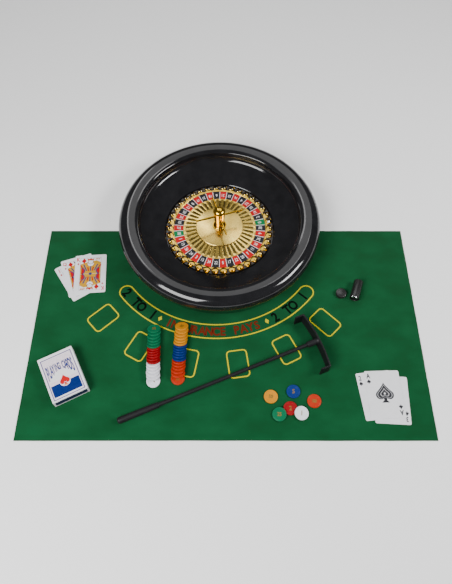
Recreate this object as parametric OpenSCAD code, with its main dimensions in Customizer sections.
// Table-top roulette set: a wheel standing on a printed felt layout, with its rake,
// chips, cards, card box and ball tube laid out on the cloth.
// Millimetres, +Z up. The origin is the middle of the whole footprint on the table top.

/* [Felt layout] */
// Width of the cloth, left to right
mat_w = 736; // [700:1:800]
// Depth of the cloth, front to back
mat_d = 438; // [430:1:480]
// Thickness of the cloth
mat_t = 1.2; // [0.8:0.1:1.5]

/* [Wheel bowl] */
// Outer radius of the rolled rim
rim_r = 203; // [203:0.5:206]
// Height of the rim's crest above the table
rim_top = 68; // [66:0.5:70]
// Radius of the rim's rolled tube
rim_roll = 20; // [18:0.5:20]
// Wall thickness of the mouldings
wall = 2.4; // [2:0.1:2.8]
// Wheel centre, right of the middle of the cloth
wheel_dx = -13; // [-20:1:0]
// How far the wheel centre sits inside the cloth's far edge
wheel_inset = 6.5; // [0:0.5:12]

/* [Rotor] */
// Outer radius of the pocket ring
pocket_r = 110; // [109:0.5:111]
// Number of pockets
pockets = 38; // [37, 38]
// Direction of the zero pocket, from +X
zero_azimuth = 9.5; // [0:0.5:18]
// Diameter of the balls
ball_d = 8; // [7:0.5:8]
// Length of a turret arm from the axis
arm_reach = 49; // [44:1:54]
// Direction of the first turret arm, from +X
arm_azimuth = 17; // [0:1:45]

/* [Chips] */
// Diameter of a chip
chip_d = 25; // [24:0.5:26]
// Thickness of a chip
chip_t = 3; // [2.8:0.1:3.2]
// Chips of one colour in a row
chips_each = 6; // [4:1:7]

/* [Cards] */
// Width of a card
card_w = 63; // [62:0.5:63.5]
// Length of a card
card_l = 88; // [87:0.5:88.5]
// Height of the card box
box_h = 19; // [18:0.5:20]

/* [Rake] */
// Length of the rake from the grip's end to the blade
rake_l = 388; // [360:1:400]
// Length of the blade
blade_l = 112; // [100:1:120]
// Height of the blade
blade_h = 29; // [24:1:32]

/* [Hidden] */
$fn = 96;

// Layout: the cloth's centre and the wheel's centre in the frame of the whole set
set_d = mat_d - wheel_inset + rim_r;
mat_y = (mat_d - set_d) / 2;
wheel_y = mat_y + mat_d / 2 - wheel_inset;
rest_gap = 0.1;
rest_z = mat_t + rest_gap;

// Bowl profile, radius and height
roll_r = rim_r - rim_roll;
roll_z = rim_top - rim_roll;
skirt_z = 5;
skirt_r = 189;
crown_r = 40;
lip_r = 164.5;
lip_z = 58;
lip_gap = 0.9;
cove_r = 16;
cove_end = -62.5;
apron_r = 113.5;
apron_z = 22;
well_r = 112.6;
well_z = 11.6;
pedestal_r = 30;
pedestal_z = 17;
plate_t = 2.5;
plate_r = 186;
foot_ring_r = 160;
foot_r = 11;
screw_ring_r = 136;
screw_count = 6;
screw_r = 1.5;
screw_l = 11;
screw_head_r = 2.9;
screw_head_h = 1.8;
boss_r = 4;
boss_h = 24;

// Spindle and bearing
stud_r = 3;
stud_z = 8.6;
shaft_r = 4;
shaft_top = 60;
flange_r = 5.6;
washer_r = 7;
washer_t = 1.2;
nut_r = 5.8;
nut_h = 4;
clip_r = 6.4;
clip_t = 1;
groove_depth = 0.6;
groove_gap = 0.05;
race_z = 19.2;
race_h = 7;
race_mid_z = race_z + race_h / 2;
race_out_r = 11;
race_wall = 2;
cage_r = 8.4;
cage_in_r = 6.6;
cage_h = 2.6;
ball_ring_r = 7.5;
race_ball_r = 1.98;
race_balls = 7;

// Rotor profile
disc_t = 2.4;
hub_r = 16;
bore_r = shaft_r + 1.4;
hub_z = 28.6;
disc_top_z = 31;
dome_r = 48;
dome_edge_z = 27.2;
flute_in_z = 25.4;
ring_in_r = 73.6;
ring_out_r = 94.8;
ring_seat_z = 20;
ring_t = 1;
disc_r = 95.2;
pocket_top = 20.5;
pocket_bottom = 12.8;
scoop_r = 8.1;
scoop_ring_r = 103.2;
scoop_z = 22.6;

// Turret
column_foot_r = 14;
column_low_r = 9.5;
column_high_r = 11.5;
column_top = 76;
turret_top = 85;
arm_z = 64;
arm_r = 2;
bush_r = 6;
bush_z = 44;
bush_h = 12;
clip_z = bush_z + bush_h + 0.35;
running_gap = 0.05;
spigot_r = 7.5;

function arc(c, r, from, to, steps) =
    [for (i = [0 : steps]) let (a = from + (to - from) * i / steps) c + r * [cos(a), sin(a)]];

function reversed(list) = [for (i = [len(list) - 1 : -1 : 0]) list[i]];

// Where the skirt line leaves the rolled tube
skirt_reach = norm([skirt_r - roll_r, skirt_z - roll_z]);
skirt_angle = atan2(skirt_z - roll_z, skirt_r - roll_r) + acos(rim_roll / skirt_reach);
crown_angle = 90 + asin((roll_r - lip_r) / crown_r);
crown_in_angle = 90 + asin((roll_r - lip_r - wall) / (crown_r - wall));

module at_wheel() {
    translate([wheel_dx, wheel_y, 0]) children();
}

module on_mat(x, y, turn = 0, z = rest_z) {
    translate([x, mat_y + y, z]) rotate([0, 0, turn]) children();
}

module tube(r_out, r_in, h, z = 0) {
    translate([0, 0, z]) difference() {
        cylinder(r = r_out, h = h);
        translate([0, 0, -1]) cylinder(r = r_in, h = h + 2);
    }
}

module ring_of(count, radius, start = 0) {
    for (i = [0 : count - 1]) rotate([0, 0, start + i * 360 / count]) translate([radius, 0, 0]) children();
}

// ---------------------------------------------------------------- cloth
module felt_mat() {
    color("darkgreen") translate([-mat_w / 2, mat_y - mat_d / 2, 0]) cube([mat_w, mat_d, mat_t]);
}

// ---------------------------------------------------------------- bowl
module outer_rim() {
    outside = concat(
        [[skirt_r, skirt_z]],
        arc([roll_r, roll_z], rim_roll, skirt_angle, 90, 14),
        arc([roll_r, rim_top - crown_r], crown_r, 94, crown_angle, 4),
        [[lip_r, lip_z]]);
    inside = concat(
        [[skirt_r - wall, skirt_z]],
        arc([roll_r, roll_z], rim_roll - wall, skirt_angle, 90, 14),
        arc([roll_r, rim_top - crown_r], crown_r - wall, 94, crown_in_angle, 4),
        [[lip_r + wall, lip_z]]);
    color("black") at_wheel() rotate_extrude($fn = 180) polygon(concat(outside, reversed(inside)));
}

module inner_bowl() {
    cove_c = [lip_r - lip_gap - cove_r, lip_z - 0.2];
    top = concat(
        [[lip_r + wall + 4, cove_c[1]], [lip_r - lip_gap, cove_c[1]]],
        arc(cove_c, cove_r, -6, cove_end, 8),
        [[apron_r, apron_z], [well_r, apron_z - 1], [well_r, well_z], [pedestal_r + 4, well_z],
         [pedestal_r, pedestal_z], [shaft_r + 1, pedestal_z]]);
    under = concat(
        [[lip_r + wall + 4, cove_c[1] - wall], [lip_r - lip_gap + wall - 0.3, cove_c[1] - wall]],
        arc(cove_c, cove_r + wall, -9, cove_end, 8),
        [[well_r + wall, apron_z - 3], [well_r + wall, well_z - wall], [pedestal_r + 2.5, well_z - wall],
         [pedestal_r - 1.5, pedestal_z - wall], [shaft_r + 1, pedestal_z - wall]]);
    color("black") at_wheel() {
        difference() {
            union() {
                rotate_extrude($fn = 180) polygon(concat(top, reversed(under)));
                ring_of(screw_count, screw_ring_r)
                    translate([0, 0, skirt_z + plate_t]) cylinder(r = boss_r, h = boss_h, $fn = 32);
                tube(shaft_r + 4, stud_r, wall, pedestal_z - wall);
            }
            ring_of(screw_count, screw_ring_r)
                translate([0, 0, skirt_z + plate_t - 1]) cylinder(r = screw_r - 0.2, h = 14, $fn = 32);
        }
    }
}

module base_plate() {
    color("dimgray") at_wheel() translate([0, 0, skirt_z]) difference() {
        cylinder(r = plate_r, h = plate_t, $fn = 180);
        ring_of(screw_count, screw_ring_r)
            translate([0, 0, -1]) cylinder(r = screw_r + 0.2, h = plate_t + 2, $fn = 32);
    }
}

// The two rear feet stand on the table, behind the cloth, so they are longer by the cloth's thickness
module rubber_feet() {
    color("dimgray") at_wheel() {
        for (side = [45, 135]) rotate([0, 0, side])
            translate([foot_ring_r, 0, 0]) cylinder(r = foot_r, h = skirt_z);
        for (side = [225, 315]) rotate([0, 0, side])
            translate([foot_ring_r, 0, mat_t]) cylinder(r = foot_r, h = skirt_z - mat_t);
    }
}

module base_screws() {
    color("silver") at_wheel() ring_of(screw_count, screw_ring_r) {
        translate([0, 0, skirt_z - screw_head_h]) difference() {
            cylinder(r = screw_head_r, h = screw_head_h, $fn = 32);
            for (turn = [0, 90]) rotate([0, 0, turn]) translate([-1.7, -0.3, -1]) cube([3.4, 0.6, 1.9]);
        }
        translate([0, 0, skirt_z]) cylinder(r = screw_r - 0.2, h = screw_l, $fn = 32);
    }
}

// ---------------------------------------------------------------- spindle and bearing
module spindle() {
    color("silver") at_wheel() difference() {
        union() {
            translate([0, 0, stud_z]) cylinder(r = stud_r, h = pedestal_z - stud_z, $fn = 48);
            translate([0, 0, pedestal_z]) cylinder(r = flange_r, h = race_z - pedestal_z, $fn = 48);
            translate([0, 0, race_z]) cylinder(r = shaft_r, h = shaft_top - race_z, $fn = 64);
        }
        tube(shaft_r + 1, shaft_r - groove_depth, clip_t + 2 * groove_gap, clip_z - groove_gap);
    }
}

module spindle_washer() {
    color("silver") at_wheel() tube(washer_r, stud_r + 0.2, washer_t, pedestal_z - wall - washer_t);
}

module spindle_nut() {
    color("silver") at_wheel() translate([0, 0, pedestal_z - wall - washer_t - nut_h]) difference() {
        cylinder(r = nut_r, h = nut_h, $fn = 6);
        translate([0, 0, -1]) cylinder(r = stud_r, h = nut_h + 2, $fn = 48);
    }
}

module spindle_clip() {
    slot_w = 4;
    color("silver") at_wheel() difference() {
        tube(clip_r, shaft_r - groove_depth, clip_t, clip_z);
        translate([0, -slot_w / 2, clip_z - 1]) cube([clip_r + 1, slot_w, clip_t + 2]);
    }
}

module race(r_out, r_in) {
    difference() {
        tube(r_out, r_in, race_h, race_z);
        translate([0, 0, race_mid_z]) rotate_extrude() translate([ball_ring_r, 0])
            circle(r = race_ball_r + 0.04, $fn = 48);
    }
}

module bearing_inner_race() {
    color("silver") at_wheel() race(shaft_r + race_wall, shaft_r);
}

module bearing_outer_race() {
    color("silver") at_wheel() race(race_out_r, race_out_r - race_wall);
}

module bearing_balls() {
    color("lightgray") at_wheel() ring_of(race_balls, ball_ring_r)
        translate([0, 0, race_mid_z]) sphere(r = race_ball_r, $fn = 32);
}

module bearing_cage() {
    color("goldenrod") at_wheel() difference() {
        tube(cage_r, cage_in_r, cage_h, race_mid_z - cage_h / 2);
        ring_of(race_balls, ball_ring_r)
            translate([0, 0, race_mid_z]) sphere(r = race_ball_r + 0.06, $fn = 32);
    }
}

// ---------------------------------------------------------------- rotor
module rotor_hub() {
    color("black") at_wheel() difference() {
        translate([0, 0, race_z + 0.3]) cylinder(r = hub_r, h = hub_z - race_z - 0.3);
        translate([0, 0, race_z - 1]) cylinder(r = race_out_r, h = race_h + 1);
        translate([0, 0, race_z]) cylinder(r = bore_r, h = 2 * race_h);
    }
}

module rotor_disc() {
    profile = [
        [bore_r, disc_top_z], [column_foot_r - 1, disc_top_z], [dome_r, dome_edge_z],
        [dome_r + 0.4, flute_in_z], [ring_in_r, ring_seat_z + ring_t + 0.4], [ring_in_r, ring_seat_z],
        [disc_r, ring_seat_z], [disc_r, ring_seat_z - disc_t], [ring_in_r, ring_seat_z - disc_t],
        [dome_r, flute_in_z - disc_t], [hub_r + 2, hub_z], [bore_r, hub_z]];
    color("goldenrod") at_wheel() rotate_extrude($fn = 180) polygon(profile);
}

module number_ring() {
    color("firebrick") at_wheel() tube(ring_out_r, ring_in_r + 0.1, ring_t, ring_seat_z, $fn = 180);
}

module pocket_ring() {
    color("gold") at_wheel() difference() {
        union() {
            tube(pocket_r, disc_r + 0.1, pocket_top - pocket_bottom, pocket_bottom, $fn = 180);
            tube(pocket_r - 8, 86, 2.2, ring_seat_z - disc_t - 2.2, $fn = 180);
        }
        ring_of(pockets, scoop_ring_r, zero_azimuth)
            translate([0, 0, scoop_z]) sphere(r = scoop_r, $fn = 48);
    }
}

// ---------------------------------------------------------------- turret
module turret_column() {
    profile = [
        [shaft_r + 1.2, disc_top_z], [column_foot_r, disc_top_z], [column_foot_r, disc_top_z + 1.2],
        [column_low_r + 0.8, disc_top_z + 3], [column_low_r, disc_top_z + 6], [column_low_r + 0.2, bush_z],
        [column_high_r - 0.6, column_top - 4], [column_high_r - 0.6, column_top],
        [spigot_r, column_top], [spigot_r, bush_z + bush_h], [bush_r, bush_z + bush_h], [bush_r, bush_z],
        [shaft_r + 1.2, bush_z]];
    color("gold") at_wheel() difference() {
        rotate_extrude() polygon(profile);
        for (i = [0 : 3]) rotate([0, 0, arm_azimuth + 90 * i]) translate([0, 0, arm_z]) rotate([0, 90, 0])
            cylinder(r = arm_r, h = 20, $fn = 32);
    }
}

module turret_bush() {
    color("peru") at_wheel() tube(bush_r, shaft_r + running_gap, bush_h, bush_z);
}

module turret_arms() {
    arm_root = spigot_r + 0.1;
    color("gold") at_wheel() for (i = [0 : 3]) rotate([0, 0, arm_azimuth + 90 * i]) {
        translate([arm_root, 0, arm_z]) rotate([0, 90, 0])
            cylinder(r = arm_r, h = arm_reach - arm_r - arm_root, $fn = 32);
        translate([arm_reach - arm_r, 0, arm_z]) sphere(r = arm_r, $fn = 32);
    }
}

module turret_cap() {
    dome_z = column_top + 1.5;
    dome_out = column_high_r + 0.4;
    profile = concat(
        [[0, column_top - 5], [spigot_r - 0.1, column_top - 5], [spigot_r - 0.1, column_top],
         [column_high_r, column_top], [dome_out, dome_z]],
        [for (a = [15 : 15 : 75]) [dome_out * cos(a), dome_z + (turret_top - dome_z) * sin(a)]],
        [[0, turret_top]]);
    color("gold") at_wheel() rotate_extrude() polygon(profile);
}

module roulette_ball() {
    color("white") at_wheel() rotate([0, 0, zero_azimuth])
        translate([scoop_ring_r, 0, scoop_z - scoop_r + ball_d / 2 + 0.05]) sphere(d = ball_d, $fn = 48);
}

// ---------------------------------------------------------------- rake
// Lies on its grip and the blade's edge; the rod runs along local +X, rising a little.
// The blade is bowed and stands upright, and its two ends turn back toward the grip
rake_x = -189.7;
rake_dy = -186.2;
rake_turn = 22.15;
grip_l = 78;
grip_r = 6;
grip_bore_l = 30;
rod_r = 3.5;
rod_head_z = 19;
blade_t = 3;
blade_r = 300;
blade_x = 389.5;
end_l = 17;
end_x = 384.6;
socket_l = 22;
rod_rise = asin((rod_head_z - grip_r) / rake_l);

module along_rake() {
    on_mat(rake_x, rake_dy, rake_turn, rest_z) children();
}

module along_rod() {
    along_rake() translate([0, 0, grip_r + 0.1]) rotate([0, 90 - rod_rise, 0]) children();
}

module rake_head() {
    socket_r = rod_r + 2.2;
    color("black") along_rake() union() {
        intersection() {
            translate([blade_x - blade_r, 0, 0]) difference() {
                cylinder(r = blade_r + blade_t / 2, h = blade_h, $fn = 180);
                translate([0, 0, -1]) cylinder(r = blade_r - blade_t / 2, h = blade_h + 2, $fn = 180);
            }
            translate([blade_x - 30, -blade_l / 2, 0]) cube([60, blade_l, blade_h]);
        }
        for (side = [0, 1]) mirror([0, side, 0])
            translate([end_x - end_l, blade_l / 2 - blade_t, 0]) cube([end_l, blade_t, blade_h]);
        difference() {
            translate([0, 0, grip_r + 0.1]) rotate([0, 90 - rod_rise, 0])
                translate([0, 0, rake_l - socket_l]) cylinder(r = socket_r, h = socket_l + 1.2, $fn = 48);
            translate([0, 0, grip_r + 0.1]) rotate([0, 90 - rod_rise, 0])
                translate([0, 0, rake_l - socket_l - 1]) cylinder(r = rod_r, h = socket_l - 2, $fn = 48);
        }
    }
}
module rake_rod() {
    color("black") along_rod() translate([0, 0, grip_l - grip_bore_l])
        cylinder(r = rod_r, h = rake_l - grip_l + grip_bore_l - 4, $fn = 48);
}

module rake_grip() {
    nose = 5;
    color("black") along_rod() difference() {
        rotate_extrude() polygon(concat(
            [[0, 0]],
            arc([grip_r - nose, nose], nose, -75, 0, 5),
            [[grip_r, grip_l - 10], [rod_r + 1, grip_l], [0, grip_l]]));
        translate([0, 0, grip_l - grip_bore_l]) cylinder(r = rod_r, h = grip_bore_l + 1, $fn = 48);
    }
}

// ---------------------------------------------------------------- cards
card_t = 0.3;
card_step = card_t + 0.1;
card_corner = 3;
card_play = 0.8;
paper_t = 0.5;
box_w = card_w + card_play + 2 * paper_t;
box_l = card_l + card_play + paper_t;
box_x = -294;
box_dy = -104.5;
box_turn = 27;
deck_t = 15;

module card(x, y, turn, level) {
    color("ivory") on_mat(x, y, turn, rest_z + level * card_step) linear_extrude(card_t) union() {
        square([card_w - 2 * card_corner, card_l], center = true);
        square([card_w, card_l - 2 * card_corner], center = true);
        for (i = [-1, 1], j = [-1, 1])
            translate([i * (card_w / 2 - card_corner), j * (card_l / 2 - card_corner)])
                circle(r = card_corner, $fn = 32);
    }
}

module jack_of_diamonds() { card(-297, 105, 33.7, 0); }
module queen_of_diamonds() { card(-292.9, 110.8, 19, 1); }
module king_of_diamonds() { card(-273.3, 114, 4, 2); }
module three_of_spades() { card(296.4, -145.8, -3.1, 0); }
module two_of_spades() { card(273.1, -137.4, 6.3, 1); }
module ace_of_spades() { card(285.7, -135.7, 1.5, 2); }

module at_box() {
    on_mat(box_x, box_dy, box_turn) children();
}

// A tuck box lying on its back, with its top end, the open one, away from the player
module card_box() {
    color("white") at_box() difference() {
        translate([-box_w / 2, -box_l / 2, 0]) cube([box_w, box_l, box_h]);
        translate([-box_w / 2 + paper_t, -box_l / 2 + paper_t, paper_t])
            cube([box_w - 2 * paper_t, box_l, box_h - 2 * paper_t]);
    }
}

module card_deck() {
    color("ivory") at_box() translate([-card_w / 2, -box_l / 2 + paper_t + 0.3, paper_t])
        cube([card_w, card_l, deck_t]);
}

module card_box_flap() {
    color("white") at_box() translate([-box_w / 2 + 0.3, box_l / 2 + 0.15, 0.15])
        cube([box_w - 0.6, paper_t, box_h - 0.35]);
}

// ---------------------------------------------------------------- ball tube
tube_x = 256.5;
tube_dy = 72.3;
tube_turn = 70.8;
tube_r = 9.2;
tube_in_r = 8.3;
tube_l = 40;
cap_x = 227;
cap_dy = 68;
cap_r = 10.3;
cap_h = 6.4;

// Local +X runs from the tube's mouth to its closed end
module along_tube() {
    on_mat(tube_x, tube_dy, tube_turn, rest_z + tube_r) rotate([0, 90, 0])
        translate([0, 0, -tube_l / 2]) children();
}

module ball_tube() {
    color("black") along_tube() difference() {
        cylinder(r = tube_r, h = tube_l);
        translate([0, 0, -1]) cylinder(r = tube_in_r, h = tube_l);
    }
}

module ball_tube_cap() {
    color("black") on_mat(cap_x, cap_dy) difference() {
        cylinder(r = cap_r, h = cap_h);
        translate([0, 0, -1]) cylinder(r = tube_r + 0.1, h = cap_h);
    }
}

module spare_ball(side) {
    seat_r = tube_in_r - ball_d / 2 - 0.05;
    half_gap = ball_d / 2 + 0.05;
    color("silver") along_tube()
        translate([sqrt(seat_r * seat_r - half_gap * half_gap), side * half_gap, ball_d / 2 + 1.5])
            sphere(d = ball_d, $fn = 48);
}

module spare_ball_left() { spare_ball(1); }
module spare_ball_right() { spare_ball(-1); }

// ---------------------------------------------------------------- chips
// A row is a pushed-over stack: the front chip lies flat and each one behind it leans on the last,
// with its back edge on the cloth. tilt_of gives a chip's lean and pitch the step between two leans.
chip_edge = 0.5;
recess_r = 9.4;
recess_h = 0.25;
row_count = 3 * chips_each;
left_row = [-131.5, -124, 2.2];
right_row = [-88, -119, -2.2];

function tilt_of(i) = i == 0 ? 0 : 27 + 13 * sin(185 * (i - 0.5) / row_count);
function step_up(a, b) = chip_t * cos(a) / tan(b) + chip_t * sin(a);
function step_down(a, b) =
    a == 0 ? 0 : (chip_t / cos(a) + chip_d * cos(b) * tan(a) - chip_d * sin(b)) / tan(a);
function pitch(a, b) = max(step_up(a, b), step_down(a, b)) + 0.25;
function back_edge(i) = i == 0 ? chip_d : back_edge(i - 1) + pitch(tilt_of(i - 1), tilt_of(i));

module chip() {
    rotate_extrude() polygon([
        [0, recess_h], [recess_r, recess_h], [recess_r + 0.3, 0], [chip_d / 2 - chip_edge, 0],
        [chip_d / 2, chip_edge], [chip_d / 2, chip_t - chip_edge], [chip_d / 2 - chip_edge, chip_t],
        [recess_r + 0.3, chip_t], [recess_r, chip_t - recess_h], [0, chip_t - recess_h]]);
}

module chip_row(row, from) {
    on_mat(row[0], row[1], row[2]) for (i = [from : from + chips_each - 1])
        translate([0.5 * sin(i * 140), back_edge(i), 0]) rotate([-tilt_of(i), 0, 0])
            translate([0, -chip_d / 2, 0]) chip();
}

module white_chip_row() { color("white") chip_row(left_row, 0); }
module dark_red_chip_row() { color("firebrick") chip_row(left_row, chips_each); }
module green_chip_row() { color("seagreen") chip_row(left_row, 2 * chips_each); }
module red_chip_row() { color("orangered") chip_row(right_row, 0); }
module blue_chip_row() { color("navy") chip_row(right_row, chips_each); }
module orange_chip_row() { color("orange") chip_row(right_row, 2 * chips_each); }

// A chip that leans on another one: toward is the direction of the chip beneath
module leaning_chip(x, y, toward, lean) {
    on_mat(x, y, toward) translate([-chip_d / 2, 0, 0]) rotate([0, -lean, 0])
        translate([chip_d / 2, 0, 0]) chip();
}

module loose_orange_chip() { color("orange") on_mat(80.6, -140.6) chip(); }
module loose_blue_chip() { color("navy") on_mat(121.6, -131.2) chip(); }
module loose_red_chip() { color("orangered") on_mat(157.8, -148.8) chip(); }
module loose_dark_red_chip() { color("firebrick") on_mat(114.5, -161.9) chip(); }
module loose_green_chip() { color("seagreen") leaning_chip(94.6, -172.9, 29.5, 8.4); }
module loose_white_chip() { color("white") leaning_chip(133.2, -170.9, 154, 9); }

felt_mat();
outer_rim();
inner_bowl();
base_plate();
rubber_feet();
base_screws();
spindle();
spindle_washer();
spindle_nut();
spindle_clip();
bearing_inner_race();
bearing_balls();
bearing_cage();
bearing_outer_race();
rotor_hub();
rotor_disc();
number_ring();
pocket_ring();
turret_column();
turret_bush();
turret_arms();
turret_cap();
roulette_ball();
rake_head();
rake_rod();
rake_grip();
card_box();
card_deck();
card_box_flap();
ball_tube();
ball_tube_cap();
spare_ball_left();
spare_ball_right();
king_of_diamonds();
queen_of_diamonds();
jack_of_diamonds();
two_of_spades();
three_of_spades();
ace_of_spades();
white_chip_row();
dark_red_chip_row();
green_chip_row();
red_chip_row();
blue_chip_row();
orange_chip_row();
loose_orange_chip();
loose_blue_chip();
loose_red_chip();
loose_dark_red_chip();
loose_green_chip();
loose_white_chip();
